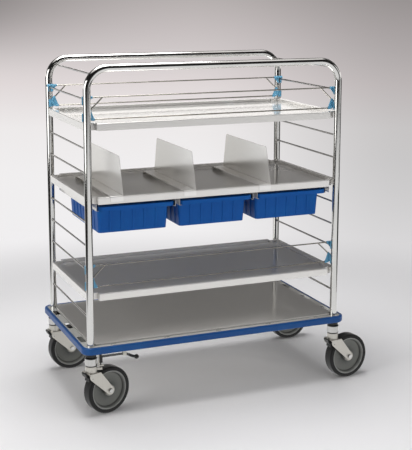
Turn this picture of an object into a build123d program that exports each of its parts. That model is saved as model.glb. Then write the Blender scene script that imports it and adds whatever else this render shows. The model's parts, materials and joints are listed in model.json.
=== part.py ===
from build123d import *
from math import acos, atan2, cos, degrees, radians, sin, sqrt, tan
import os

# Stainless steel shelf cart on four swivel casters.
# Millimetres, +Z up. The origin is the centre of the bottom deck's top face.
# X runs along the cart, and its front faces -Y.

# Hoops and rungs
upright_spacing_x = 1150.0  # between the axes of the left and right uprights
upright_spacing_y = 600.0  # between the axes of the front and rear uprights
tube_diameter = 31.75
tube_wall = 2.0
bend_radius = 90.0  # to the tube's axis
rung_diameter = 8.0
rung_pitch = 101.6
rung_count = 11
first_rung_height = 109.0
hoop_over_rungs = 26.0  # from the top rung up to the axis of the hoop's top bar

# Shelves: pans whose end rims hook over a pair of rungs
sheet = 1.5
rim_height = 30.0
rim_overhang = 9.0  # outside the plane of the uprights' axes
rim_width = 22.0
recess_depth = 12.0
sheet_bend = 3.5  # outer radius of the shelves' folded edges
notch_reach = 40.0  # from the uprights' axes in to the ends of the front and rear rims
notch_clearance = 4.0  # between a notch's back wall and its upright
hem_width = 9.0
seat_gap = 0.3  # where one piece rests on another
lower_shelf_rung_index = 1
tray_shelf_rung_index = 5
top_shelf_rung_index = 8

# Base frame, deck and bumper
base_overhang = 29.0  # from the uprights' axes out to the base frame's outer face
base_height = 30.0
base_wall = 2.5
base_flange = 74.0
base_lip = 30.0
base_corner_radius = 30.0
corner_plate_size = 72.0
end_slot_length = 82.0
end_slot_width = 24.0
end_slot_pitch = 200.0
side_slot_length = 24.0
side_slot_width = 8.0
side_slot_pitch = 240.0
deck_hem = 6.0
deck_sheet = 2.0
deck_inset = 4.0  # from the uprights' axes in to the deck's end edges
cross_member_width = 60.0
cross_member_height = 22.0
cross_member_wall = 2.0
cross_member_pitch = 380.0
bumper_height = 31.0
bumper_depth = 13.0
bumper_drop = 4.5  # from the deck's top down to the bumper's top
bumper_edge_radius = 7.0
screw_head_radius = 5.0
screw_head_height = 3.0
end_screw_pitch = 265.0

# Wire guards and their clips
wire_diameter = 6.0
guard_height = 90.0  # between the wires' axes
top_guard_foot = 14.0  # lower wire above the top shelf's rim
lower_guard_foot = 24.0  # lower wire above the lower shelf's rim
guard_end_run = 74.0  # from the upright's axis to where the sloping end meets the top wire
guard_corner_run = 20.0  # from the upright's axis out to the sharp corner of the sloping end
guard_bend_radius = 20.0
guard_tip_run = 12.0  # from the upright's axis out to the top wire's tips
clip_wall = 4.0
clip_height = 34.0
clip_near_turn = 21.0  # degrees of the saddle on either side of the guard's direction
clip_far_turn = 75.0
clip_sleeve_wall = 2.5
clip_outer_run = 14.0  # from the upright's axis to the ends of the sleeve
clip_inner_run = 30.0
clip_sleeve_overrun = 8.0  # of the lower sleeve past the wire's bend
clip_web = 4.0
clip_over_wire = 6.0
clip_fit = 0.15
clip_rung_gap = 0.4

# Bins and their rails
bin_pitch = 362.0
bin_side_clearance = 4.0  # between a bin's rim and a rail's web
bin_rim_depth = 534.0
bin_rim_height = 18.0
bin_side_overhang = 9.0  # of the rim over the body
bin_end_overhang = 51.0
bin_height = 123.0
bin_draft = 7.0  # each side, from rim to floor
bin_wall = 2.5
bin_corner_radius = 14.0
bin_rim_radius = 22.0
bin_rib_pitch = 51.0
bin_rib_width = 9.0
bin_rib_height = 2.5
bin_rib_foot = 5.0
bin_setback = 6.0  # from the front uprights' axes back to the rim's front edge
bin_drop = 43.5  # from the shelf's rim down to the bin's rim
rail_width = 20.0
rail_lip = 8.0
rail_front_setback = 8.0  # from the uprights' axes to the middle rails' ends
rail_rear_inset = 2.0  # from the bins' rear rims in to the rails' ends

# Dividers
divider_places = (-429.0, -105.0, 245.0)
divider_height = 160.0
divider_foot_length = 524.0
divider_front_slope = 48.0
divider_rear_slope = 38.0
divider_corner_radius = 12.0
divider_flange = 56.0
divider_hook = 24.0

# Casters
wheel_diameter = 203.0
wheel_width = 48.0
tyre_thickness = 17.0
tyre_shoulder = 7.0
rim_lip = 6.0
rim_wall = 5.0
rim_inset = 3.0
hub_web = 14.0
hub_radius = 23.0
hub_side_gap = 0.5
axle_radius = 6.0
running_fit = 0.05
caster_trail = 76.0
caster_turns = (16.0, 7.0, 5.0, 3.0)  # degrees at rest: front left, front right, rear left, rear right
adapter_radius = 23.0
adapter_height = 14.0
neck_radius = 11.0
plug_height = 45.0
cup_radius = 26.0
cup_height = 37.0
cup_step = 3.0  # from the adapter's edge in to the cup's chamfer
seal_height = 5.0
seal_inset = 1.5
crown_radius = 25.0
crown_height = 27.0
fork_plate = 4.5
fork_leg_width = 52.0
fork_shoulder_x = 3.0
fork_shoulder_depth = 13.0
fork_boss_radius = 17.0
fork_side_gap = 3.0
stem_radius = 8.0
stem_fit = 0.08
stem_nut_height = 6.0
stem_nut_radius = 10.0
nut_clearance = 2.5  # between the stem's nut and the tyre
head_radius = 10.0
head_height = 7.0

# Brake pedals
pedal_pin_x = -12.0  # from the stem's axis
pedal_pin_gap = 11.5  # between the pin's axis and the tread
pedal_pin_radius = 3.0
pedal_boss_radius = 9.0  # of the fork's leg round the pin
pedal_hub_radius = 8.0
pedal_width = 32.0
pedal_thickness = 8.0
pedal_elbow_x = 17.0
pedal_elbow_z = 8.0
pedal_tip_x = 22.0
pedal_tip_z = 20.0
pedal_travel = 12.0  # degrees
shoe_arm = 14.0
shoe_radius = 5.0
brake_gap = 0.5  # between the shoe and the tread with the pedal down

# Swivel lock at the front left caster, measured from the stem's axis
lock_pivot_x = 140.0
lock_pivot_drop = 14.0  # below the base frame
lock_pivot_boss = 8.0
lock_pivot_radius = 3.5
lock_head_rim = 2.0  # of the pivot's head round the pivot
lock_head_height = 3.0
lock_boss_inset = 1.0  # of the lever's boss from the bracket's outline
lock_pin_x = 36.0
lock_pin_radius = 3.0
lock_pin_drop = 3.4  # from the crown's top to the raised pin's end
lock_travel = 10.0
lock_pin_lift = 6.0  # of the raised pin over the ear
lock_ear_height = 7.0
lock_ear_width = 15.0
lock_ear_tip = 5.0
lock_link_radius = 2.0
lock_link_play = 1.5  # along the lever's slot
lock_bar_depth = 13.0
lock_bar_rise = 7.0
lock_lever_thickness = 6.0
lock_lever_height = 9.0
lock_side_gap = 0.4
lock_cheek = 3.0
lock_shank_radius = 3.0
lock_grip_radius = 6.0
lock_grip_x = 19.0  # from the pivot
lock_grip_z = -7.0
lock_knob_x = 54.0
lock_knob_z = -21.0
lock_knob_radius = 10.0
lock_grip_sag = 2.0  # of the grip's middle under the straight line
lock_foot_drop = 6.0  # of the guide's foot above the raised pin's end
lock_guide_wall = 4.0
lock_guide_reach = 12.0
lock_guide_width = 12.4
lock_strap_width = 9.0

# What follows from the sizes above
half_x = upright_spacing_x / 2
half_y = upright_spacing_y / 2
tube_radius = tube_diameter / 2
wire_radius = wire_diameter / 2
rung_radius = rung_diameter / 2
guard_inset = tube_radius + clip_wall / 2 + wire_radius
bin_rim_width = bin_pitch - rail_width - 2 * bin_side_clearance
rail_rear_setback = upright_spacing_y - bin_setback - bin_rim_depth + rail_rear_inset
hoop_height = first_rung_height + (rung_count - 1) * rung_pitch + hoop_over_rungs
base_top = -deck_hem
base_bottom = base_top - base_height
cup_top = base_bottom - adapter_height
crown_top = cup_top - cup_height - seal_height - seat_gap
crown_bottom = crown_top - crown_height
fork_web_bottom = crown_bottom - fork_plate
wheel_radius = wheel_diameter / 2
stem_nut_bottom = fork_web_bottom - seat_gap - stem_nut_height
axle_drop = sqrt((wheel_radius + nut_clearance) ** 2 - (caster_trail - stem_nut_radius) ** 2)
axle_height = stem_nut_bottom - axle_drop
leg_inner = wheel_width / 2 + fork_side_gap
leg_outer = leg_inner + fork_plate
pedal_pin_rise = sqrt((wheel_radius + pedal_pin_gap) ** 2 - (caster_trail - pedal_pin_x) ** 2)
pedal_pin_height = axle_height + pedal_pin_rise
lock_y = -base_overhang + base_wall + lock_cheek + lock_side_gap + lock_lever_thickness / 2
lock_pivot_z = base_bottom - lock_pivot_drop
lock_pin_bottom = crown_top - seat_gap - lock_pin_drop
lock_foot_top = lock_pin_bottom + lock_foot_drop + lock_guide_wall
caster_places = {
    "front_left": (-half_x, -half_y, caster_turns[0]),
    "front_right": (half_x, -half_y, caster_turns[1]),
    "rear_left": (-half_x, half_y, caster_turns[2]),
    "rear_right": (half_x, half_y, caster_turns[3]),
}


def rung_height(index):
    return first_rung_height + index * rung_pitch


def shelf_top(index):
    return rung_height(index) + rung_radius + seat_gap + sheet


def round_bar(path, radius):
    start = Plane(origin=path @ 0, z_dir=path % 0)
    return sweep(start * Circle(radius), path=path)


def prism(sketch, bottom, top):
    return extrude(Pos(0, 0, bottom) * sketch, top - bottom)


def group(solids):
    return Compound(children=[solid for piece in solids for solid in piece.solids()])


# Hoops: one bent tube each, from the base frame's corner plates up and over
def hoop_path(y):
    foot = base_bottom + base_wall
    corners = [(-half_x, y, foot), (-half_x, y, hoop_height), (half_x, y, hoop_height), (half_x, y, foot)]
    return FilletPolyline(*corners, radius=bend_radius)


def hoop(y):
    return round_bar(hoop_path(y), tube_radius) - round_bar(hoop_path(y), tube_radius - tube_wall)


# Rungs: rods coped to the tubes, the top one between the bends
def rung_inset(height):
    into_bend = height - (hoop_height - bend_radius)
    if into_bend <= 0:
        return 0.0
    return bend_radius - sqrt(bend_radius**2 - into_bend**2)


def right_rungs():
    rods = Part()
    for index in range(rung_count):
        height = rung_height(index)
        place = Pos(half_x - rung_inset(height), 0, height) * Rot(90, 0, 0)
        rods += place * Cylinder(rung_radius, upright_spacing_y)
    for y in (-half_y, half_y):
        rods -= round_bar(hoop_path(y), tube_radius)
    return rods


# Shelf: a folded pan with a recessed floor, notched at the uprights
def notched_rectangle(reach_x, reach_y, notch_x, grow):
    notch_y = tube_radius + notch_clearance
    size_x = notch_x + reach_x - half_x
    size_y = notch_y + reach_y - half_y
    centre_x = reach_x - size_x / 2
    centre_y = reach_y - size_y / 2
    plan = Rectangle(2 * (reach_x + grow), 2 * (reach_y + grow))
    for x in (-1, 1):
        for y in (-1, 1):
            plan -= Pos(x * centre_x, y * centre_y) * Rectangle(size_x - 2 * grow, size_y - 2 * grow)
    return plan


def folded_block(plan, bottom, top, bend):
    block = prism(plan, bottom, top)
    return fillet(block.faces().sort_by(Axis.Z)[-1].edges(), bend)


def shelf():
    bottom = -rim_height
    floor = -recess_depth
    reach_x = half_x + rim_overhang
    reach_y = half_y + rim_overhang
    outside = notched_rectangle(reach_x, reach_y, notch_reach, 0)
    inside = notched_rectangle(reach_x, reach_y, notch_reach, -sheet)
    recess = Rectangle(2 * (reach_x - rim_width), 2 * (reach_y - rim_width))
    recess_outside = Rectangle(2 * (reach_x - rim_width + sheet), 2 * (reach_y - rim_width + sheet))
    pan = folded_block(outside, bottom, 0, sheet_bend)
    pan -= folded_block(inside, bottom, -sheet, sheet_bend - sheet)
    pan += prism(recess_outside & inside, floor - sheet, -sheet)
    pan -= prism(recess & notched_rectangle(reach_x, reach_y, notch_reach, -2 * sheet), floor, 0)
    channel = rim_width - 2 * sheet
    for side in (-1, 1):
        x = side * (reach_x - sheet - channel / 2)
        pan -= Pos(x, 0, (bottom - sheet) / 2) * Box(channel, 2 * reach_y - 2 * sheet, rim_height - sheet)
        y = side * (reach_y - sheet - hem_width / 2)
        length = 2 * (half_x - notch_reach - sheet)
        pan += Pos(0, y, bottom + sheet / 2) * Box(length, hem_width, sheet)
    return pan


# Base frame: a channel all round, open inwards, with openings in its top flange
def base_ring(offset):
    size_x = upright_spacing_x + 2 * (base_overhang + offset)
    size_y = upright_spacing_y + 2 * (base_overhang + offset)
    return RectangleRounded(size_x, size_y, base_corner_radius + offset)


def slot_centres():
    gap = (base_overhang - deck_inset) / 2
    ends = [(side * (half_x + gap), row * end_slot_pitch, 90) for side in (-1, 1) for row in (-1, 0, 1)]
    fronts = [(row * side_slot_pitch, side * (half_y + gap), 0) for side in (-1, 1) for row in range(-2, 3)]
    return ends, fronts


def base_frame():
    frame = prism(base_ring(0), base_bottom, base_top)
    frame -= prism(base_ring(-base_wall), base_bottom + base_wall, base_top - base_wall)
    size_x = upright_spacing_x + 2 * base_overhang
    size_y = upright_spacing_y + 2 * base_overhang
    frame -= prism(Rectangle(size_x - 2 * base_flange, size_y - 2 * base_flange), base_bottom, base_top)
    lip_top = base_bottom + base_wall
    frame -= prism(Rectangle(size_x - 2 * base_lip, size_y - 2 * base_lip), base_bottom, lip_top)
    ends, fronts = slot_centres()
    slot_bottom = base_top - 2 * base_wall
    for x, y, turn in ends:
        frame -= prism(Pos(x, y) * SlotOverall(end_slot_length, end_slot_width, turn), slot_bottom, base_top)
    for x, y, turn in fronts:
        slot = Pos(x, y) * SlotOverall(side_slot_length, side_slot_width, turn)
        frame -= prism(slot, slot_bottom, base_top)
    for x, y, turn in caster_places.values():
        side_x = 1 if x > 0 else -1
        side_y = 1 if y > 0 else -1
        plate = prism(base_ring(0), base_bottom, base_bottom + base_wall)
        centre_x = x + side_x * (base_overhang - corner_plate_size / 2)
        centre_y = y + side_y * (base_overhang - corner_plate_size / 2)
        square = Box(corner_plate_size, corner_plate_size, 4 * base_wall)
        frame += plate & Pos(centre_x, centre_y, base_bottom) * square
    for x, y, turn in caster_places.values():
        frame -= Pos(x, y, base_top) * Cylinder(tube_radius + clip_fit, 2.1 * base_wall)
        frame -= Pos(x, y, base_bottom) * Cylinder(neck_radius + clip_fit, 4 * base_wall)
    return frame


def cross_members():
    length = upright_spacing_y + 2 * base_overhang - 2 * base_wall - 2 * seat_gap
    top = base_top - base_wall
    room = cross_member_width - 2 * cross_member_wall
    bars = []
    for place in (-1, 0, 1):
        bar = Box(cross_member_width, length, cross_member_height)
        hollow = Box(room, length, cross_member_height - cross_member_wall)
        bar -= Pos(0, 0, -cross_member_wall / 2) * hollow
        bars.append(Pos(place * cross_member_pitch, 0, top - cross_member_height / 2) * bar)
    return group(bars)


def bottom_deck():
    notch = tube_radius + notch_clearance
    plan = notched_rectangle(half_x - deck_inset, half_y, notch, 0)
    inner = notched_rectangle(half_x - deck_inset, half_y, notch, -deck_sheet)
    return prism(plan, -deck_hem, 0) - prism(inner, -deck_hem, -deck_sheet)


def bumper():
    bottom = -bumper_drop - bumper_height
    ring = prism(base_ring(bumper_depth), bottom, -bumper_drop)
    top_edges = ring.faces().sort_by(Axis.Z)[-1].edges()
    bottom_edges = ring.faces().sort_by(Axis.Z)[0].edges()
    ring = fillet(top_edges + bottom_edges, bumper_edge_radius)
    return ring - prism(base_ring(0), bottom, -bumper_drop)


# Bumper screws: on the long sides the outer ones are inside the outer cross members
def bumper_screws():
    height = (base_bottom + base_top) / 2
    face_x = half_x + base_overhang - base_wall - screw_head_height / 2
    face_y = half_y + base_overhang - base_wall - screw_head_height / 2
    heads = []
    for side in (-1, 1):
        for row in (-1, 1):
            place = Pos(side * face_x, row * end_screw_pitch / 2, height) * Rot(0, 90, 0)
            heads.append(place * Cylinder(screw_head_radius, screw_head_height))
        for row in (-1, -1 / 3, 1 / 3, 1):
            place = Pos(row * cross_member_pitch, side * face_y, height) * Rot(90, 0, 0)
            heads.append(place * Cylinder(screw_head_radius, screw_head_height))
    return group(heads)


# Guards: a straight top wire and a lower wire with sloping ends, welded to it
guards = (
    (top_shelf_rung_index, -1, top_guard_foot),
    (top_shelf_rung_index, 1, top_guard_foot),
    (lower_shelf_rung_index, -1, lower_guard_foot),
)


def lower_wire(radius):
    end = half_x - guard_end_run
    corner = half_x + guard_corner_run
    points = [(-end, 0, guard_height), (-corner, 0, 0), (corner, 0, 0), (end, 0, guard_height)]
    return round_bar(FilletPolyline(*points, radius=guard_bend_radius), radius)


def guard(index, side, foot):
    tip = half_x + guard_tip_run
    upper = round_bar(Line((-tip, 0, guard_height), (tip, 0, guard_height)), wire_radius)
    return Pos(0, side * (half_y - guard_inset), shelf_top(index) + foot) * (upper + lower_wire(wire_radius))


# Clips, about a front upright's axis: a saddle on the tube and a sleeve round the wire
def clip_saddle(bottom, top):
    inner = tube_radius + clip_fit
    reach = 2 * (inner + clip_wall)
    middle = 90 + (clip_far_turn - clip_near_turn) / 2
    turns = [radians(turn) for turn in (90 - clip_near_turn, middle, 90 + clip_far_turn)]
    wedge = Polygon((0, 0), *[(reach * cos(turn), reach * sin(turn)) for turn in turns], align=None)
    return prism((Circle(inner + clip_wall) - Circle(inner)) & wedge, bottom, top)


def upper_clip(side, rung_drop):
    sleeve_radius = wire_radius + clip_sleeve_wall
    bottom = clip_over_wire - clip_height
    clip = clip_saddle(bottom, clip_over_wire)
    sleeve = Cylinder(sleeve_radius, clip_outer_run + clip_inner_run, rotation=(0, 90, 0))
    clip += Pos(side * (clip_outer_run - clip_inner_run) / 2, guard_inset, 0) * sleeve
    foot_x = -side * tube_radius / 2
    gusset = Polygon((0, 0), (-side * clip_inner_run, 0), (foot_x, bottom), (0, bottom), align=None)
    clip += Pos(0, guard_inset, 0) * extrude(Plane.XZ * gusset, clip_web / 2, both=True)
    clip -= Pos(0, 0, bottom) * Cylinder(tube_radius + clip_fit, 4 * clip_height)
    clip -= Pos(0, guard_inset, 0) * Cylinder(wire_radius + clip_fit, 2 * half_x, rotation=(0, 90, 0))
    room = rung_radius + clip_rung_gap
    clip -= Pos(0, guard_inset, -rung_drop) * Cylinder(room, 4 * guard_inset, rotation=(90, 0, 0))
    notch = Box(2 * room, 4 * guard_inset, clip_height)
    return clip - Pos(0, guard_inset, -rung_drop - clip_height / 2) * notch


def lower_clip(side):
    corner = Vector(side * guard_corner_run, guard_inset, 0)
    slope = Vector(-side * (guard_corner_run + guard_end_run), 0, guard_height).normalized()
    level = Vector(-side, 0, 0)
    turn = radians(180 - level.get_angle(slope))
    run = guard_bend_radius * tan(turn / 2) + clip_sleeve_overrun
    path = FilletPolyline(corner + level * run, corner, corner + slope * run, radius=guard_bend_radius)
    clip = clip_saddle(-clip_over_wire, clip_height - clip_over_wire)
    clip += round_bar(path, wire_radius + clip_sleeve_wall)
    web = make_face(path.edges() + [Line(path @ 1, path @ 0)])
    clip += extrude(web, clip_web / 2, dir=(0, 1, 0), both=True)
    clip -= Cylinder(tube_radius + clip_fit, 4 * clip_height)
    return clip - Pos(-side * half_x, guard_inset, 0) * lower_wire(wire_radius + clip_fit)


def guard_clips(which):
    lower_pair = {side: lower_clip(side) for side in (-1, 1)} if which == "lower" else {}
    clips = []
    for index, side_y, foot in guards:
        height = shelf_top(index) + foot
        for side in (-1, 1):
            if which == "upper":
                height = shelf_top(index) + foot + guard_height
                clip = upper_clip(side, height - rung_height(index + 1))
            else:
                clip = lower_pair[side]
            clips.append(Rot(0, 0, 0 if side_y < 0 else 180) * Pos(side * half_x, -half_y, height) * clip)
    return group(clips)


# Rails: hat channels under the tray shelf, whose lips carry the bins' rims
rail_top = shelf_top(tray_shelf_rung_index) - recess_depth - sheet
bin_top = shelf_top(tray_shelf_rung_index) - bin_drop
rail_bottom = bin_top - bin_rim_height - seat_gap - sheet
end_rail_setback = tube_radius + notch_clearance + sheet + seat_gap


def rail(lips, front_setback):
    length = upright_spacing_y - front_setback - rail_rear_setback
    height = rail_top - rail_bottom
    body = Box(rail_width, length, height)
    body -= Pos(0, 0, -sheet) * Box(rail_width - 2 * sheet, length, height)
    for side in lips:
        x = side * (rail_width / 2 + rail_lip / 2)
        body += Pos(x, 0, (sheet - height) / 2) * Box(rail_lip, length, sheet)
    return Pos(0, (front_setback - rail_rear_setback) / 2, (rail_top + rail_bottom) / 2) * body


def end_rails():
    return group([Pos(-side * 1.5 * bin_pitch, 0, 0) * rail([side], end_rail_setback) for side in (-1, 1)])


def middle_rails():
    return group([Pos(x * bin_pitch, 0, 0) * rail([-1, 1], rail_front_setback) for x in (-0.5, 0.5)])


# Bin: a drafted, ribbed box hung by its rim, which is wide at the front and rear
def bin_loft(grow, bottom, top):
    width = bin_rim_width - 2 * bin_side_overhang + 2 * grow
    depth = bin_rim_depth - 2 * bin_end_overhang + 2 * grow
    radius = bin_corner_radius + grow
    sections = []
    for level in (bottom, top):
        inset = bin_draft * (bin_height - level) / bin_height
        sketch = RectangleRounded(width - 2 * inset, depth - 2 * inset, radius)
        sections.append(Pos(0, 0, level) * sketch)
    return loft(sections)


def rib_grid():
    body_width = bin_rim_width - 2 * bin_side_overhang
    body_depth = bin_rim_depth - 2 * bin_end_overhang
    grid = Sketch()
    for span, length, turn in ((body_width, bin_rim_depth, 0), (body_depth, bin_rim_width, 90)):
        count = int((span / 2 - bin_draft - bin_corner_radius) / bin_rib_pitch)
        for step in range(-count, count + 1):
            grid += Rot(0, 0, turn) * Pos(step * bin_rib_pitch, 0) * Rectangle(bin_rib_width, length)
    return prism(grid, bin_rib_foot, bin_height - bin_rim_height)


def storage_bin():
    body = bin_loft(0, 0, bin_height)
    body += rib_grid() & bin_loft(bin_rib_height, 0, bin_height)
    bottom = bin_height - bin_rim_height
    outside = RectangleRounded(bin_rim_width, bin_rim_depth, bin_rim_radius)
    under_width = bin_rim_width - 2 * bin_wall
    under = RectangleRounded(under_width, bin_rim_depth - 2 * bin_wall, bin_rim_radius - bin_wall)
    rim = prism(outside, bottom, bin_height)
    rim = fillet(rim.faces().sort_by(Axis.Z)[-1].edges(), bin_wall)
    rim -= prism(under, bottom, bin_height - bin_wall)
    body += rim
    body -= bin_loft(-bin_wall, bin_wall, bin_height)
    return Pos(0, -half_y + bin_setback + bin_rim_depth / 2, bin_top - bin_height) * body


# Divider: a plate bent from a flange that hooks over the tray's front rim and stands on its floor
def flange_outline(grow):
    front = -half_y - rim_overhang - seat_gap - sheet - grow
    rear = -half_y - rim_overhang + divider_foot_length + grow
    top = shelf_top(tray_shelf_rung_index) + seat_gap + sheet + grow
    bottom = top - divider_hook
    outline = Polygon((front, bottom), (rear, bottom), (rear, top), (front, top), align=None)
    return fillet(outline.vertices().sort_by(Axis.Y)[-2:], sheet_bend + sheet + grow)


def divider():
    low = shelf_top(tray_shelf_rung_index) + seat_gap
    front = -half_y - rim_overhang
    rear = front + divider_foot_length
    high = low + divider_height
    slant_front = front + divider_front_slope
    slant_rear = rear - divider_rear_slope - sheet_bend
    corners = [(front, low), (rear - sheet_bend - 2 * sheet, low), (slant_rear, high), (slant_front, high)]
    outline = Polygon(*corners, align=None)
    outline = fillet(outline.vertices().sort_by(Axis.Y)[-2:], divider_corner_radius)
    plate = extrude(Plane.YZ * outline, sheet)
    foot_bottom = low - recess_depth
    strip = flange_outline(0) - flange_outline(-sheet)
    strip -= Pos(rear, foot_bottom - divider_hook / 2) * Rectangle(4 * sheet, divider_hook)
    flange = extrude(Plane.YZ * strip, divider_flange)
    return plate + Pos(sheet - divider_flange, 0, 0) * flange


# Casters, each made about its stem's axis and then set in place and turned
def at_caster(name, piece):
    x, y, turn = caster_places[name]
    return Pos(x, y, 0) * Rot(0, 0, turn) * piece


def at_every_caster(piece):
    return group([at_caster(name, piece) for name in caster_places])


def caster_adapter():
    neck_top = base_bottom + base_wall
    collar = Pos(0, 0, base_bottom - adapter_height / 2) * Cylinder(adapter_radius, adapter_height)
    neck = Pos(0, 0, base_bottom + base_wall / 2) * Cylinder(neck_radius, base_wall)
    plug = Pos(0, 0, neck_top + plug_height / 2) * Cylinder(tube_radius - tube_wall - clip_fit, plug_height)
    bore = Pos(0, 0, base_bottom) * Cylinder(stem_radius + stem_fit, 4 * plug_height)
    return collar + neck + plug - bore


def bearing_cup():
    shoulder = cup_radius - adapter_radius + cup_step
    profile = Polygon(
        (stem_radius + stem_fit, cup_top),
        (cup_radius - shoulder, cup_top),
        (cup_radius, cup_top - shoulder),
        (cup_radius, cup_top - cup_height),
        (stem_radius + stem_fit, cup_top - cup_height),
        align=None,
    )
    return revolve(Plane.XZ * profile, Axis.Z)


def swivel_seal():
    ring = Cylinder(cup_radius - seal_inset, seal_height) - Cylinder(stem_radius + stem_fit, seal_height)
    return Pos(0, 0, cup_top - cup_height - seal_height / 2) * ring


def caster_stem():
    top = base_bottom + base_wall + plug_height
    shank = prism(Circle(stem_radius), stem_nut_bottom, top)
    nut_top = stem_nut_bottom + stem_nut_height
    return shank + prism(RegularPolygon(stem_nut_radius, 6), stem_nut_bottom, nut_top)


def fork():
    web_end = caster_trail - sqrt((wheel_radius + nut_clearance) ** 2 - (fork_web_bottom - axle_height) ** 2)
    web_start = -fork_leg_width / 2
    body = prism(Circle(crown_radius), crown_bottom, crown_top)
    web = Pos((web_start + web_end) / 2, 0) * Rectangle(web_end - web_start, 2 * leg_outer)
    body += prism(web, fork_web_bottom, crown_bottom)
    depth = fork_shoulder_depth
    shoulder = Pos(fork_shoulder_x, crown_bottom - depth / 2) * Rectangle(fork_leg_width, depth)
    axle_boss = Pos(caster_trail, axle_height) * Circle(fork_boss_radius)
    pedal_boss = Pos(pedal_pin_x, pedal_pin_height) * Circle(pedal_boss_radius)
    outline = make_hull(shoulder.edges() + axle_boss.edges() + pedal_boss.edges())
    outline -= Pos(caster_trail, axle_height) * Circle(axle_radius + running_fit)
    outline -= Pos(pedal_pin_x, pedal_pin_height) * Circle(pedal_pin_radius + running_fit)
    for side in (-1, 1):
        leg = extrude(Plane.XZ * outline, -side * fork_plate)
        body += Pos(0, side * leg_inner, 0) * leg
    return body - Pos(0, 0, crown_bottom) * Cylinder(stem_radius + stem_fit, 3 * crown_height)


def locking_fork():
    pin_reach = sqrt(lock_pin_x**2 + lock_y**2)
    pin_angle = degrees(atan2(lock_y, lock_pin_x))
    ear_length = pin_reach + lock_ear_tip - crown_radius / 2
    ear = Pos(pin_reach + lock_ear_tip - ear_length / 2, 0) * Rectangle(ear_length, lock_ear_width)
    slot_length = lock_ear_tip + lock_pin_radius
    slot_width = 2 * (lock_pin_radius + seat_gap)
    ear -= Pos(pin_reach + lock_ear_tip - slot_length / 2, 0) * Rectangle(slot_length, slot_width)
    top = lock_pin_bottom - lock_pin_lift
    bore = Pos(0, 0, crown_bottom) * Cylinder(stem_radius + stem_fit, 3 * crown_height)
    return fork() + Rot(0, 0, pin_angle) * prism(ear, top - lock_ear_height, top) - bore


def tyre():
    middle = wheel_radius - tyre_thickness / 2 + running_fit / 2
    profile = Pos(middle, 0) * Rectangle(tyre_thickness - running_fit, wheel_width)
    profile = fillet(profile.vertices().sort_by(Axis.X)[-2:], tyre_shoulder)
    return Pos(caster_trail, 0, axle_height) * revolve(profile, Axis.Y)


def hub():
    outer = wheel_radius - tyre_thickness
    half = wheel_width / 2 - rim_inset
    boss = leg_inner - hub_side_gap
    dish = outer - rim_wall - rim_lip
    half_profile = [
        (axle_radius + running_fit, boss),
        (hub_radius, boss),
        (hub_radius + rim_inset, hub_web / 2),
        (dish, hub_web / 2),
        (outer - rim_wall, half),
        (outer, half),
    ]
    profile = Polygon(*half_profile, *[(x, -y) for x, y in reversed(half_profile)], align=None)
    return Pos(caster_trail, 0, axle_height) * revolve(profile, Axis.Y)


def axle():
    shank = Rot(90, 0, 0) * Cylinder(axle_radius, 2 * (leg_outer + head_height))
    head = Rot(90, 0, 0) * extrude(RegularPolygon(head_radius, 6), head_height)
    near = Pos(0, -leg_outer, 0) * head
    far = Pos(0, leg_outer + head_height, 0) * head
    return Pos(caster_trail, 0, axle_height) * (shank + near + far)


# Brake pedal: a toe lever on a pin between the fork's legs, with a shoe that swings down on the tread
def brake_pedal():
    pin_to_axle = wheel_radius + pedal_pin_gap
    shoe_to_axle = wheel_radius + brake_gap + shoe_radius
    pressed = acos((pin_to_axle**2 + shoe_arm**2 - shoe_to_axle**2) / (2 * pin_to_axle * shoe_arm))
    axle_direction = atan2(axle_height - pedal_pin_height, caster_trail - pedal_pin_x)
    direction = axle_direction - pressed - radians(pedal_travel)
    boss = Circle(pedal_hub_radius)
    shoe = Pos(shoe_arm * cos(direction), shoe_arm * sin(direction)) * Circle(shoe_radius)
    elbow = Pos(-pedal_elbow_x, pedal_elbow_z) * Circle(pedal_thickness / 2)
    tip = Pos(-pedal_tip_x, pedal_tip_z) * Circle(pedal_thickness / 2)
    lever = make_hull(boss.edges() + shoe.edges())
    lever += make_hull(boss.edges() + elbow.edges())
    lever += make_hull(elbow.edges() + tip.edges())
    lever -= Circle(pedal_pin_radius + running_fit)
    return Pos(pedal_pin_x, 0, pedal_pin_height) * extrude(Plane.XZ * lever, pedal_width / 2, both=True)


def pedal_pin():
    return Pos(pedal_pin_x, 0, pedal_pin_height) * Rot(90, 0, 0) * Cylinder(pedal_pin_radius, 2 * leg_outer)


# Swivel lock at the front left caster: a lever lowers a bar whose pin drops into the ear on the fork
def lock_bracket():
    x = lock_pivot_x
    width = 2 * (lock_cheek + lock_side_gap) + lock_lever_thickness
    low = lock_pivot_z - lock_pivot_boss
    cheek = Pos(x, (low + base_bottom) / 2) * Rectangle(2 * lock_pivot_boss, base_bottom - low)
    bracket = extrude(Plane.XZ * cheek, width / 2, both=True)
    room = lock_lever_thickness + 2 * lock_side_gap
    slot_top = base_bottom - lock_cheek
    bracket -= Pos(x, 0, (low + slot_top) / 2) * Box(3 * lock_pivot_boss, room, slot_top - low)
    bracket -= Pos(x, 0, lock_pivot_z) * Rot(90, 0, 0) * Cylinder(lock_pivot_radius, width)
    pivot = Pos(x, 0, lock_pivot_z) * Rot(90, 0, 0) * Cylinder(lock_pivot_radius, width)
    head = Rot(90, 0, 0) * Cylinder(lock_pivot_radius + lock_head_rim, lock_head_height)
    head = Pos(x, -(width + lock_head_height) / 2, lock_pivot_z) * head
    return [Pos(0, lock_y, 0) * bracket, Pos(0, lock_y, 0) * (pivot + head)]


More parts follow.
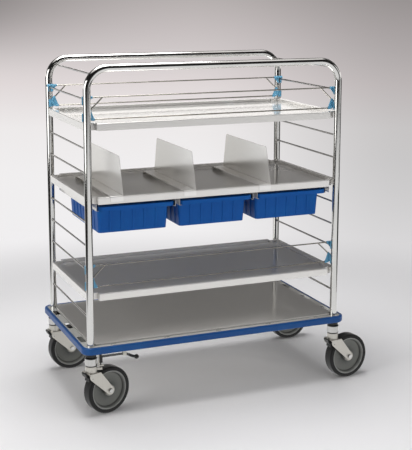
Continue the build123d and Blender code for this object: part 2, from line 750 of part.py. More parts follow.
def lock_guide():
    foot_bottom = lock_foot_top - lock_guide_wall
    near_x = lock_pin_x - lock_guide_reach
    strap_y = lock_y - lock_guide_width / 2
    strap = Pos(near_x + lock_guide_wall / 2, strap_y + lock_strap_width / 2, (base_bottom + foot_bottom) / 2)
    guide = strap * Box(lock_guide_wall, lock_strap_width, base_bottom - foot_bottom)
    length = 2 * lock_guide_reach - lock_guide_wall
    foot = Pos(near_x + lock_guide_wall + length / 2, lock_y, (lock_foot_top + foot_bottom) / 2)
    guide += foot * Box(length, lock_guide_width, lock_guide_wall)
    root = Pos(near_x + lock_guide_wall, strap_y + lock_strap_width / 2, (lock_foot_top + foot_bottom) / 2)
    guide += root * Box(lock_guide_wall, lock_strap_width, lock_guide_wall)
    bore = Cylinder(lock_pin_radius + running_fit, 4 * lock_guide_wall)
    return guide - Pos(lock_pin_x, lock_y, lock_foot_top) * bore


def lock_bar():
    top = lock_pivot_z + lock_bar_rise
    bottom = lock_foot_top + lock_travel + seat_gap
    bar = Pos(0, 0, (top + bottom) / 2) * Box(lock_bar_depth, lock_guide_width, top - bottom)
    fork_depth = lock_bar_rise + lock_lever_height / 2 + lock_travel / 2
    room = lock_lever_thickness + 2 * lock_side_gap
    bar -= Pos(0, 0, top - fork_depth / 2) * Box(lock_bar_depth, room, fork_depth)
    bar += Pos(0, 0, lock_pivot_z) * Rot(90, 0, 0) * Cylinder(lock_link_radius, lock_guide_width)
    bar += prism(Circle(lock_pin_radius), lock_pin_bottom, bottom)
    return Pos(lock_pin_x, lock_y, 0) * bar


def lock_lever():
    arm = lock_pivot_x - lock_pin_x
    end = Pos(-arm, 0) * Circle(lock_lever_height / 2)
    boss = Circle(lock_pivot_boss - lock_boss_inset)
    root = Pos(lock_grip_x, lock_grip_z) * Circle(lock_lever_height / 2)
    plate = make_hull(end.edges() + Circle(lock_lever_height / 2).edges())
    plate += make_hull(boss.edges() + root.edges())
    plate -= Circle(lock_pivot_radius + running_fit)
    slot_height = 2 * (lock_link_radius + seat_gap / 2)
    plate -= Pos(-arm, 0) * SlotOverall(2 * lock_link_radius + lock_link_play, slot_height)
    lever = extrude(Plane.XZ * plate, lock_lever_thickness / 2, both=True)
    middle = (lock_grip_x + lock_knob_x) / 2, 0, (lock_grip_z + lock_knob_z) / 2 - lock_grip_sag
    path = ThreePointArc((lock_grip_x, 0, lock_grip_z), middle, (lock_knob_x, 0, lock_knob_z))
    shank = round_bar(path, lock_shank_radius)
    grip = round_bar(path, lock_grip_radius) + Pos(lock_knob_x, 0, lock_knob_z) * Sphere(lock_knob_radius)
    lever += shank
    grip -= lever
    place = Pos(lock_pivot_x, lock_y, lock_pivot_z)
    return place * lever, place * grip


right_side = right_rungs()
shelf_pan = shelf()
middle_bin = storage_bin()
divider_plate = divider()
turning_fork = fork()
lever, knob = lock_lever()
front_left = Pos(-half_x, -half_y, 0)

nodes = {
    "front_hoop": hoop(-half_y),
    "rear_hoop": hoop(half_y),
    "left_rungs": Rot(0, 0, 180) * right_side,
    "right_rungs": right_side,
    "base_frame": base_frame(),
    "cross_members": cross_members(),
    "bottom_deck": bottom_deck(),
    "bumper": bumper(),
    "bumper_screws": bumper_screws(),
    "top_shelf": Pos(0, 0, shelf_top(top_shelf_rung_index)) * shelf_pan,
    "tray_shelf": Pos(0, 0, shelf_top(tray_shelf_rung_index)) * shelf_pan,
    "lower_shelf": Pos(0, 0, shelf_top(lower_shelf_rung_index)) * shelf_pan,
    "top_front_guard": guard(*guards[0]),
    "top_rear_guard": guard(*guards[1]),
    "lower_front_guard": guard(*guards[2]),
    "upper_guard_clips": guard_clips("upper"),
    "lower_guard_clips": guard_clips("lower"),
    "end_bin_rails": end_rails(),
    "middle_bin_rails": middle_rails(),
    "left_bin": Pos(-bin_pitch, 0, 0) * middle_bin,
    "middle_bin": middle_bin,
    "right_bin": Pos(bin_pitch, 0, 0) * middle_bin,
    "left_divider": Pos(divider_places[0], 0, 0) * divider_plate,
    "middle_divider": Pos(divider_places[1], 0, 0) * divider_plate,
    "right_divider": Pos(divider_places[2], 0, 0) * divider_plate,
    "stem_adapters": at_every_caster(caster_adapter()),
    "caster_stems": at_every_caster(caster_stem()),
    "bearing_cups": at_every_caster(bearing_cup()),
    "swivel_seals": at_every_caster(swivel_seal()),
    "lock_bracket": front_left * group(lock_bracket()),
    "lock_guide": front_left * lock_guide(),
    "lock_bar": front_left * lock_bar(),
    "lock_lever": front_left * lever,
    "lock_knob": front_left * knob,
}
caster_pieces = {
    "tyre": tyre(),
    "hub": hub(),
    "axle": axle(),
    "brake_pedal": brake_pedal(),
    "pedal_pin": pedal_pin(),
}
for name in caster_places:
    nodes[f"{name}_fork"] = at_caster(name, locking_fork() if name == "front_left" else turning_fork)
    for piece_name, piece in caster_pieces.items():
        nodes[f"{name}_{piece_name}"] = at_caster(name, piece)

os.makedirs("parts", exist_ok=True)
for name, node in nodes.items():
    export_step(node, f"parts/{name}.step")
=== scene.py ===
import json
import math

import bmesh
import bpy
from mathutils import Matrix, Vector


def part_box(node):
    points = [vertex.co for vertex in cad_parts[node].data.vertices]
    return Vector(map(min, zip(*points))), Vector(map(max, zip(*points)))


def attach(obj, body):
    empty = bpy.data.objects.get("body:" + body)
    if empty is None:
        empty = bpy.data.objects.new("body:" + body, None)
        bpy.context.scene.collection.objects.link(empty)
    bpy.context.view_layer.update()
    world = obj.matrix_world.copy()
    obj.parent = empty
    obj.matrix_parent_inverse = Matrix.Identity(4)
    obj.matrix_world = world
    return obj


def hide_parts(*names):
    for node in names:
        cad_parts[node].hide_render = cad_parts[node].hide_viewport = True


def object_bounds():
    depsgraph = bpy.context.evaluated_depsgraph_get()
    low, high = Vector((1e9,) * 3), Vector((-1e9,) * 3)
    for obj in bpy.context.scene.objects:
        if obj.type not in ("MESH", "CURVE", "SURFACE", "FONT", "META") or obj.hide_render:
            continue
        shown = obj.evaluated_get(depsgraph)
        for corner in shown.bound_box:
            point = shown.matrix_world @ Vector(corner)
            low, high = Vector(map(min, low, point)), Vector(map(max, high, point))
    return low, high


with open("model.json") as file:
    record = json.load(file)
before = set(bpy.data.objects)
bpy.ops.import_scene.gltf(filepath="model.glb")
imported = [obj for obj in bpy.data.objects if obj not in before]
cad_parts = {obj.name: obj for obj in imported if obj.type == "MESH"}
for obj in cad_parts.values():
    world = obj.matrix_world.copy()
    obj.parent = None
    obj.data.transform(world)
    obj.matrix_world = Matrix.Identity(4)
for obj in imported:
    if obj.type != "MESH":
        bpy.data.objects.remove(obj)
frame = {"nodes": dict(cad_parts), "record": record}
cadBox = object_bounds()
scene = bpy.context.scene
scene.view_settings.view_transform = "Standard"
print("frame loaded")

mm = 0.001
floorZ = cadBox[0][2]

# Small helpers for node trees


def newMaterial(name):
    material = bpy.data.materials.new(name)
    material.use_nodes = True
    material.node_tree.nodes.clear()
    return material, material.node_tree


def addNode(tree, kind, **values):
    node = tree.nodes.new(kind)
    for key, value in values.items():
        if hasattr(node, key):
            setattr(node, key, value)
        else:
            node.inputs[key].default_value = value
    return node


# A socket is linked, a number is set
def plug(tree, value, socket):
    if isinstance(value, bpy.types.NodeSocket):
        tree.links.new(value, socket)
    else:
        socket.default_value = value


def plugColour(tree, colour, socket):
    plug(tree, colour if isinstance(colour, bpy.types.NodeSocket) else (*colour, 1.0), socket)


def calc(tree, operation, first, second=0.0, third=0.0, clamp=False):
    node = addNode(tree, "ShaderNodeMath", operation=operation, use_clamp=clamp)
    for value, socket in zip((first, second, third), node.inputs):
        plug(tree, value, socket)
    return node.outputs[0]


def fade(tree, value, low, high, start=0.0, end=1.0):
    node = addNode(tree, "ShaderNodeMapRange", interpolation_type="SMOOTHSTEP")
    plug(tree, value, node.inputs["Value"])
    node.inputs["From Min"].default_value = low
    node.inputs["From Max"].default_value = high
    node.inputs["To Min"].default_value = start
    node.inputs["To Max"].default_value = end
    return node.outputs["Result"]


def colourRamp(tree, value, stops):
    node = addNode(tree, "ShaderNodeValToRGB")
    plug(tree, value, node.inputs[0])
    elements = node.color_ramp.elements
    while len(elements) < len(stops):
        elements.new(0.5)
    for element, (position, colour) in zip(elements, stops):
        element.position = position
        element.color = (*colour, 1.0)
    return node.outputs[0]


# The mix node's colours are its sockets 6 and 7, and its output 2
def mixColours(tree, factor, first, second):
    node = addNode(tree, "ShaderNodeMix", data_type="RGBA")
    plug(tree, factor, node.inputs[0])
    plugColour(tree, first, node.inputs[6])
    plugColour(tree, second, node.inputs[7])
    return node.outputs[2]


def mixShaders(tree, factor, first, second):
    node = addNode(tree, "ShaderNodeMixShader")
    for source, socket in zip((factor, first, second), node.inputs):
        tree.links.new(source, socket)
    return node.outputs[0]


def axesOf(tree, vector):
    split = addNode(tree, "ShaderNodeSeparateXYZ")
    tree.links.new(vector, split.inputs[0])
    return split.outputs


# Axes turned about Z, by degrees
def turnedAxes(tree, vector, angle):
    turned = addNode(tree, "ShaderNodeMapping", vector_type="TEXTURE")
    turned.inputs["Rotation"].default_value = (0.0, 0.0, math.radians(angle))
    tree.links.new(vector, turned.inputs["Vector"])
    return axesOf(tree, turned.outputs[0])


# Camera

cameraSettings = {
    "place": (-1.8009, -4.4885, 1.4992),
    "turn": (80.332, -0.088, -22.607),  # degrees
    "lens": 86.84,  # mm
    "sensorWidth": 36.0,  # mm
    "shiftY": -0.133,
    "clipEnd": 200.0,
}


def addCamera(settings):
    data = bpy.data.cameras.new("photoCamera")
    data.lens = settings["lens"]
    data.sensor_width = settings["sensorWidth"]
    data.sensor_fit = "AUTO"
    data.shift_y = settings["shiftY"]
    data.clip_end = settings["clipEnd"]
    camera = bpy.data.objects.new("photoCamera", data)
    camera.location = settings["place"]
    camera.rotation_euler = [math.radians(angle) for angle in settings["turn"]]
    scene.collection.objects.link(camera)
    scene.camera = camera


# Floor and studio

studioSettings = {
    "paperTurn": -22.6,  # degrees, the paper lies askew under the cart
    "darkStudio": 0.012,  # what bright metal sees beside the paper
}

# The paper's light goes by two shares: "nearness" falls with the distance from its front edge,
# and "slant" is how far to the right a place lies for that distance
floorSettings = {
    "halfSize": 120.0,
    "colour": (0.87, 0.86, 0.867),
    "nearRadius": 1.6,  # shadows fall inside it
    "farRadius": 3.0,  # the paper glows evenly outside it
    "frontEdge": 4.84,  # from the paper's front edge to the cart
    "leastDistance": 0.5,
    "falloff": 1.811,
    "rampScale": 2.0,
    "ramp": [
        (0.03, (0.46, 0.425, 0.42)), (0.09, (0.565, 0.52, 0.52)), (0.13, (0.63, 0.585, 0.585)),
        (0.19, (0.745, 0.69, 0.69)), (0.27, (0.85, 0.825, 0.825)), (0.36, (0.875, 0.86, 0.865)),
        (0.62, (0.87, 0.86, 0.875)), (0.95, (0.86, 0.86, 0.89))],
    "rightSlant": (-0.02, 0.2),  # the right side loses light over this slant
    "rightNearness": (0.16, 0.27),
    "rightLoss": (0.33, 0.2),  # far off and near
    "cornerSlope": -5.2,  # the far left corner darkens with the slant
    "cornerNearness": (0.015, 0.09),
    "cornerLoss": (0.40, 0.0),
}

# What bright metal sees of the paper: a pale band askew, which widens away from the cart
mirrorSettings = {
    "colour": (0.95, 0.95, 0.95),
    "level": 0.92,
    "frontReach": 4.4,  # how far the pale paper runs before the cart
    "frontEnd": 12.76,  # where it has gone dark
    "sideReach": 1.7,
    "sideFade": 0.7,
    "askew": 0.6,
    "widening": 0.55,
}


def glowingPaper(tree, across, along, settings):
    fromEdge = calc(tree, "ADD", along, settings["frontEdge"])
    fromEdge = calc(tree, "MAXIMUM", fromEdge, settings["leastDistance"])
    nearness = calc(tree, "DIVIDE", settings["falloff"], fromEdge)
    slant = calc(tree, "DIVIDE", across, fromEdge)
    rampPlace = calc(tree, "MULTIPLY", nearness, settings["rampScale"], clamp=True)
    rightward = fade(tree, slant, *settings["rightSlant"])
    rightLoss = fade(tree, nearness, *settings["rightNearness"], *settings["rightLoss"])
    right = calc(tree, "SUBTRACT", 1.0, calc(tree, "MULTIPLY", rightward, rightLoss))
    corner = calc(tree, "MULTIPLY", slant, settings["cornerSlope"], clamp=True)
    corner = calc(tree, "POWER", corner, 2.0)
    cornerLoss = fade(tree, nearness, *settings["cornerNearness"], *settings["cornerLoss"])
    left = calc(tree, "SUBTRACT", 1.0, calc(tree, "MULTIPLY", corner, cornerLoss))
    glow = addNode(tree, "ShaderNodeEmission")
    tree.links.new(colourRamp(tree, rampPlace, settings["ramp"]), glow.inputs["Color"])
    tree.links.new(calc(tree, "MULTIPLY", right, left), glow.inputs["Strength"])
    return glow.outputs[0]


def mirroredPaper(tree, across, along, settings, darkStudio):
    frontEnd = fade(tree, along, -settings["frontEnd"], -settings["frontReach"])
    askew = calc(tree, "ADD", across, calc(tree, "MULTIPLY", along, settings["askew"]))
    widening = calc(tree, "MULTIPLY", calc(tree, "ABSOLUTE", along), settings["widening"])
    halfWidth = calc(tree, "ADD", widening, settings["sideReach"])
    overEdge = calc(tree, "SUBTRACT", calc(tree, "ABSOLUTE", askew), halfWidth)
    pale = calc(tree, "MULTIPLY", frontEnd, fade(tree, overEdge, 0.0, settings["sideFade"], 1.0, 0.0))
    level = calc(tree, "ADD", calc(tree, "MULTIPLY", pale, settings["level"]), darkStudio)
    seen = addNode(tree, "ShaderNodeEmission")
    plugColour(tree, settings["colour"], seen.inputs["Color"])
    tree.links.new(level, seen.inputs["Strength"])
    return seen.outputs[0]


# The floor is paper that runs back as a backdrop: it takes shadows near the cart and glows further off
def addFloor(settings, mirror, studio):
    size = settings["halfSize"]
    mesh = bpy.data.meshes.new("floor")
    corners = [(-size, -size, floorZ), (size, -size, floorZ), (size, size, floorZ), (-size, size, floorZ)]
    mesh.from_pydata(corners, [], [(0, 1, 2, 3)])
    floor = bpy.data.objects.new("floor", mesh)
    scene.collection.objects.link(floor)
    material, tree = newMaterial("paperFloor")
    coords = addNode(tree, "ShaderNodeTexCoord").outputs["Object"]
    axes = turnedAxes(tree, coords, studio["paperTurn"])
    far = glowingPaper(tree, axes["X"], axes["Y"], settings)
    mirrored = mirroredPaper(tree, axes["X"], axes["Y"], mirror, studio["darkStudio"])
    near = addNode(tree, "ShaderNodeBsdfDiffuse")
    plugColour(tree, settings["colour"], near.inputs["Color"])
    distance = addNode(tree, "ShaderNodeVectorMath", operation="LENGTH")
    tree.links.new(coords, distance.inputs[0])
    farShare = fade(tree, distance.outputs["Value"], settings["nearRadius"], settings["farRadius"])
    shown = mixShaders(tree, farShare, near.outputs[0], far)
    glossyRay = addNode(tree, "ShaderNodeLightPath").outputs["Is Glossy Ray"]
    output = addNode(tree, "ShaderNodeOutputMaterial")
    tree.links.new(mixShaders(tree, glossyRay, shown, mirrored), output.inputs[0])
    mesh.materials.append(material)


# Heights in the room are sines: 0 is level, 1 is straight up
worldSettings = {
    "ambient": 0.19,
    "ambientColour": (0.98, 0.98, 1.0),
    "roomColour": (1.0, 0.97, 0.95),
    "wallStart": (-0.1, 0.45),  # the wall stands behind the cart
    "wallHeight": (0.124, 0.144),
    "wallLevels": (1.4, 0.10),  # its foot and the rest
    "ceilingHeight": (0.74, 0.86),
    "ceiling": 0.95,
    "shownLevel": 0.62,  # seen past the paper
}


# The world: even light for dull surfaces, and for bright ones a dark room with a wall and a ceiling
def addWorld(settings, studio):
    world = bpy.data.worlds.new("studio")
    scene.world = world
    world.use_nodes = True
    tree = world.node_tree
    tree.nodes.clear()
    coords = addNode(tree, "ShaderNodeTexCoord").outputs["Generated"]
    axes = turnedAxes(tree, coords, studio["paperTurn"])
    behind = fade(tree, axes["Y"], *settings["wallStart"])
    wall = fade(tree, axes["Z"], *settings["wallHeight"], *settings["wallLevels"])
    room = calc(tree, "MULTIPLY_ADD", behind, wall, studio["darkStudio"])
    ceiling = fade(tree, axes["Z"], *settings["ceilingHeight"], 0.0, settings["ceiling"])
    even = addNode(tree, "ShaderNodeBackground", Strength=settings["ambient"])
    plugColour(tree, settings["ambientColour"], even.inputs["Color"])
    mirrored = addNode(tree, "ShaderNodeBackground")
    plugColour(tree, settings["roomColour"], mirrored.inputs["Color"])
    tree.links.new(calc(tree, "ADD", room, ceiling), mirrored.inputs["Strength"])
    shown = addNode(tree, "ShaderNodeBackground", Strength=settings["shownLevel"])
    rays = addNode(tree, "ShaderNodeLightPath").outputs
    lighting = mixShaders(tree, rays["Is Glossy Ray"], even.outputs[0], mirrored.outputs[0])
    output = addNode(tree, "ShaderNodeOutputWorld")
    tree.links.new(mixShaders(tree, rays["Is Camera Ray"], lighting, shown.outputs[0]), output.inputs[0])


# Softboxes: radiance is the brightness of the box's face
lampSettings = {
    "overheadBox": {
        "place": (-0.2, 0.1, 3.4), "target": (0.0, 0.0, 0.0), "size": (2.1, 1.8), "radiance": 8.9},
    "leftBox": {
        "place": (-3.6, -0.7, 1.3), "target": (0.0, 0.0, 0.4), "size": (2.4, 2.4), "radiance": 2.6,
        "colour": (1.0, 0.99, 0.97)},
    "rightCard": {
        "place": (3.4, -1.9, 1.0), "target": (0.0, 0.0, 0.5), "size": (0.9, 2.2), "radiance": 1.3},
    "frontFill": {
        "place": (2.0, -6.0, 1.7), "target": (0.2, 0.0, 0.4), "size": (3.0, 2.0), "radiance": 4.2,
        "mirrored": False},
}


def addSoftbox(name, place, target, size, radiance, colour=(1.0, 1.0, 1.0), mirrored=True):
    data = bpy.data.lights.new(name, "AREA")
    data.shape = "RECTANGLE"
    data.size, data.size_y = size
    data.energy = radiance * math.pi * size[0] * size[1]
    data.color = colour
    lamp = bpy.data.objects.new(name, data)
    lamp.location = place
    lamp.visible_camera = False
    lamp.visible_glossy = mirrored
    scene.collection.objects.link(lamp)
    direction = Vector(target) - lamp.location
    lamp.rotation_euler = direction.to_track_quat("-Z", "Y").to_euler()


addCamera(cameraSettings)
addFloor(floorSettings, mirrorSettings, studioSettings)
addWorld(worldSettings, studioSettings)
for lampName, values in lampSettings.items():
    addSoftbox(lampName, **values)
print("camera and studio ready")

# Materials, all on Object coordinates. A pattern's scale is its repeats per metre along each axis.


def objectCoords(tree, scale=(1.0, 1.0, 1.0)):
    mapping = addNode(tree, "ShaderNodeMapping")
    mapping.inputs["Scale"].default_value = scale
    tree.links.new(addNode(tree, "ShaderNodeTexCoord").outputs["Object"], mapping.inputs["Vector"])
    return mapping.outputs[0]


def noise(tree, scale, detail, roughness=0.5):
    node = addNode(tree, "ShaderNodeTexNoise", Scale=1.0, Detail=detail, Roughness=roughness)
    tree.links.new(objectCoords(tree, scale), node.inputs["Vector"])
    return node.outputs["Fac"]


# Roughness that varies by "spread" about its middle
def variedGloss(tree, pattern, middle, spread):
    return calc(tree, "MULTIPLY_ADD", pattern, spread, middle - spread / 2)


coatRoughness = 0.2


# The relief is a height, its strength and its reach in metres
def finishMaterial(material, tree, colour, metallic, roughness, relief, specular=0.5, coat=0.0):
    shader = addNode(tree, "ShaderNodeBsdfPrincipled")
    plugColour(tree, colour, shader.inputs["Base Color"])
    plug(tree, metallic, shader.inputs["Metallic"])
    plug(tree, roughness, shader.inputs["Roughness"])
    shader.inputs["Specular IOR Level"].default_value = specular
    shader.inputs["Coat Weight"].default_value = coat
    shader.inputs["Coat Roughness"].default_value = coatRoughness
    height, strength, reach = relief
    bump = addNode(tree, "ShaderNodeBump", Strength=strength, Distance=reach)
    tree.links.new(height, bump.inputs["Height"])
    tree.links.new(bump.outputs[0], shader.inputs["Normal"])
    output = addNode(tree, "ShaderNodeOutputMaterial")
    tree.links.new(shader.outputs[0], output.inputs[0])
    return material


polishSettings = {
    "polishDetail": 2.0,
    "smear": {"scale": (9.0, 9.0, 2.5), "detail": 4.0, "roughness": 0.6}, "smearFade": (0.35, 0.75),
    "spread": 0.05,
    "relief": (0.04, 0.0002),
    "rimColour": (0.012, 0.012, 0.012), "rimFade": 0.4 * mm,
}


# Polished metal: fine rings of polish round it, faint smears along it, and above rimBottom a black rim
def polishedMetal(name, colour, darker, roughness, rings=(1.0, 1.0, 900.0), rimBottom=None):
    settings = polishSettings
    material, tree = newMaterial(name)
    polish = noise(tree, rings, settings["polishDetail"])
    smear = noise(tree, **settings["smear"])
    shade = mixColours(tree, fade(tree, smear, *settings["smearFade"]), colour, darker)
    gloss = variedGloss(tree, smear, roughness, settings["spread"])
    metallic = 1.0
    if rimBottom is not None:
        height = axesOf(tree, objectCoords(tree))["Z"]
        rim = fade(tree, height, rimBottom, rimBottom + settings["rimFade"])
        shade = mixColours(tree, rim, shade, settings["rimColour"])
        metallic = calc(tree, "SUBTRACT", 1.0, rim)
    return finishMaterial(material, tree, shade, metallic, gloss, (polish, *settings["relief"]))


satinSettings = {
    "grainDetail": 3.0, "grainRoughness": 0.6, "grainShare": 0.6,
    "clouds": {"scale": (3.0, 3.0, 3.0), "detail": 3.0},
    "scuffs": {"scale": (26.0, 60.0, 60.0), "detail": 6.0, "roughness": 0.7},
    "scuffFade": (0.68, 0.85), "scuffShare": 0.12, "scuffColour": (0.85, 0.85, 0.84),
    # painted shade at the rear of a sheet with a painted sheen
    "paintedRearShade": (0.80, 0.78, 0.74),
    # painted shade: how the occlusion mask darkens seams and hollows
    "paintedShadeFade": (0.2, 0.75), "paintedShadeSamples": 8,
    "relief": (0.03, 0.0001),
}


# Satin sheet: long grain from the mill, blurred cloudy patches and a few fine scuffs.
# A painted sheen may lighten it between two places along Y, and an occlusion mask paints shade into seams
# and hollows within the given reach.
def satinSheet(name, colour, darker, roughness, grain=(2.0, 700.0, 700.0), spread=0.08, metallic=0.55,
               paintedShadeReach=None, paintedShadeLevel=0.02, paintedSheenSpan=None):
    settings = satinSettings
    material, tree = newMaterial(name)
    lines = noise(tree, grain, settings["grainDetail"], settings["grainRoughness"])
    clouds = noise(tree, **settings["clouds"])
    scuff = fade(tree, noise(tree, **settings["scuffs"]), *settings["scuffFade"])
    shade = mixColours(tree, calc(tree, "MULTIPLY", lines, settings["grainShare"]), colour, darker)
    scuffShare = calc(tree, "MULTIPLY", scuff, settings["scuffShare"])
    shade = mixColours(tree, scuffShare, shade, settings["scuffColour"])
    # painted sheen and shade: lighter at the front, darker and warmer at the rear
    if paintedSheenSpan:
        paintedSheen = fade(tree, axesOf(tree, objectCoords(tree))["Y"], *paintedSheenSpan)
        shade = mixColours(tree, paintedSheen, settings["paintedRearShade"], shade)
    # painted shade: an occlusion mask darkens seams, folds and hollows towards a dark copy of the colour
    if paintedShadeReach:
        samples = settings["paintedShadeSamples"]
        openness = addNode(tree, "ShaderNodeAmbientOcclusion", samples=samples, Distance=paintedShadeReach)
        paintedShadeColour = tuple(paintedShadeLevel * channel for channel in colour)
        shade = mixColours(tree, fade(tree, openness.outputs["AO"], *settings["paintedShadeFade"]), paintedShadeColour, shade)
    rubbed = calc(tree, "MULTIPLY", calc(tree, "ADD", lines, scuff), spread / 2)
    gloss = calc(tree, "ADD", variedGloss(tree, clouds, roughness, spread), rubbed)
    return finishMaterial(material, tree, shade, metallic, gloss, (lines, *settings["relief"]))


plasticSettings = {
    "clouds": {"scale": (7.0, 7.0, 7.0), "detail": 4.0, "roughness": 0.6}, "cloudFade": (0.45, 0.8),
    "dustShare": 0.5, "spread": 0.16, "reliefReach": 0.0003,
}


# Moulded plastic or rubber: a fine pebble, soft clouds of dust
def mouldedPlastic(name, colour, dusty, roughness, pebble=900.0, relief=0.12, specular=0.45, coat=0.0):
    settings = plasticSettings
    material, tree = newMaterial(name)
    grains = addNode(tree, "ShaderNodeTexVoronoi", Scale=pebble)
    tree.links.new(objectCoords(tree), grains.inputs["Vector"])
    clouds = noise(tree, **settings["clouds"])
    dust = fade(tree, clouds, *settings["cloudFade"], 0.0, settings["dustShare"])
    shade = mixColours(tree, dust, colour, dusty)
    gloss = variedGloss(tree, clouds, roughness, settings["spread"])
    pebbles = (grains.outputs["Distance"], relief, settings["reliefReach"])
    return finishMaterial(material, tree, shade, 0.0, gloss, pebbles, specular, coat)


wheelSettings = {
    "clouds": {"scale": (60.0, 60.0, 60.0), "detail": 5.0, "roughness": 0.65}, "cloudFade": (0.4, 0.8),
    "dustShare": 0.4, "spread": 0.2, "ringScale": 1400.0, "ringDetail": 2.0, "reliefReach": 0.0002,
}


# Wheels have rings of colour: "wheelPlace" is the way out from the axle in metres, stored on the mesh. On
# the hub the rings are painted highlights and painted groove shade.
def wheelMaterial(name, stops, farthest, roughness, relief, dusty, specular):
    settings = wheelSettings
    material, tree = newMaterial(name)
    wheelPlace = addNode(tree, "ShaderNodeAttribute", attribute_name="wheelPlace").outputs["Vector"]
    length = addNode(tree, "ShaderNodeVectorMath", operation="LENGTH")
    tree.links.new(wheelPlace, length.inputs[0])
    reach = length.outputs["Value"]
    clouds = noise(tree, **settings["clouds"])
    rings = addNode(
        tree, "ShaderNodeTexNoise", noise_dimensions="1D", Scale=1.0, Detail=settings["ringDetail"])
    tree.links.new(calc(tree, "MULTIPLY", reach, settings["ringScale"]), rings.inputs["W"])
    shade = colourRamp(tree, calc(tree, "DIVIDE", reach, farthest), stops)
    dust = fade(tree, clouds, *settings["cloudFade"], 0.0, settings["dustShare"])
    shade = mixColours(tree, dust, shade, dusty)
    gloss = variedGloss(tree, clouds, roughness, settings["spread"])
    turned = (rings.outputs["Fac"], relief, settings["reliefReach"])
    return finishMaterial(material, tree, shade, 0.0, gloss, turned, specular)


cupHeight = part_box("bearing_cups")[1].z
cupRim = 9 * mm

# Each material slot's finish
slotFinishes = {
    "polished_tube": (polishedMetal, {
        "name": "polishedTube", "colour": (0.74, 0.735, 0.72), "darker": (0.66, 0.655, 0.64),
        "roughness": 0.10}),
    "stainless_sheet": (satinSheet, {
        "name": "satinSheet", "colour": (0.82, 0.805, 0.78), "darker": (0.72, 0.705, 0.68),
        # painted shade in folds and seams
        "roughness": 0.13, "spread": 0.05, "paintedShadeReach": 0.008, "paintedShadeLevel": 0.25}),
    "wire": (polishedMetal, {
        "name": "brightWire", "colour": (0.44, 0.42, 0.38), "darker": (0.3, 0.285, 0.26),
        "roughness": 0.16, "rings": (900.0, 1.0, 1.0)}),
    "blue_plastic": (mouldedPlastic, {
        "name": "bluePlastic", "colour": (0.002, 0.086, 0.35), "dusty": (0.006, 0.13, 0.41),
        "roughness": 0.45, "pebble": 1400.0, "relief": 0.06, "specular": 0.2}),
    "blue_bumper": (mouldedPlastic, {
        "name": "blueBumper", "colour": (0.003, 0.062, 0.235), "dusty": (0.006, 0.10, 0.31),
        "roughness": 0.42, "pebble": 700.0, "relief": 0.1, "specular": 0.3, "coat": 0.08}),
    "tyre_rubber": (wheelMaterial, {
        "name": "tyreRubber", "farthest": 0.1015, "roughness": 0.4, "relief": 0.2,
        "dusty": (0.01, 0.01, 0.0095), "specular": 0.3,
        "stops": [
            (0.0, (0.006, 0.006, 0.006)), (0.86, (0.012, 0.012, 0.012)), (0.88, (0.003, 0.003, 0.003)),
            (1.0, (0.006, 0.006, 0.006))]}),
    "grey_hub": (wheelMaterial, {
        "name": "greyHub", "farthest": 0.0845, "roughness": 0.4, "relief": 0.1,
        "dusty": (0.18, 0.175, 0.16), "specular": 0.4,
        # painted highlight at the rim's edge and painted shade in two grooves, over the hub's own grey
        "stops": [
            (0.0, (0.40, 0.39, 0.36)), (0.26, (0.36, 0.35, 0.32)), (0.30, (0.06, 0.065, 0.06)),
            (0.55, (0.125, 0.13, 0.12)), (0.84, (0.17, 0.175, 0.16)), (0.88, (0.07, 0.073, 0.07)),
            (0.94, (0.28, 0.285, 0.27)), (1.0, (0.38, 0.385, 0.37))]}),
    "caster_steel": (satinSheet, {
        "name": "casterSteel", "colour": (0.62, 0.60, 0.55), "darker": (0.5, 0.48, 0.44),
        "roughness": 0.3, "grain": (300.0, 300.0, 6.0), "spread": 0.1, "metallic": 0.7}),
    "black_pedal": (mouldedPlastic, {
        "name": "blackPedal", "colour": (0.01, 0.01, 0.01), "dusty": (0.02, 0.02, 0.02),
        "roughness": 0.4, "pebble": 600.0, "relief": 0.2}),
    "black_plastic": (mouldedPlastic, {
        "name": "blackPlastic", "colour": (0.008, 0.008, 0.008), "dusty": (0.018, 0.018, 0.018),
        "roughness": 0.3, "relief": 0.1}),
    "black_steel": (mouldedPlastic, {
        "name": "blackSteel", "colour": (0.01, 0.01, 0.01), "dusty": (0.02, 0.02, 0.02),
        "roughness": 0.35, "relief": 0.1}),
    "chrome_parts": (polishedMetal, {
        "name": "chromeParts", "colour": (0.60, 0.595, 0.585), "darker": (0.48, 0.475, 0.465),
        "roughness": 0.07}),
}

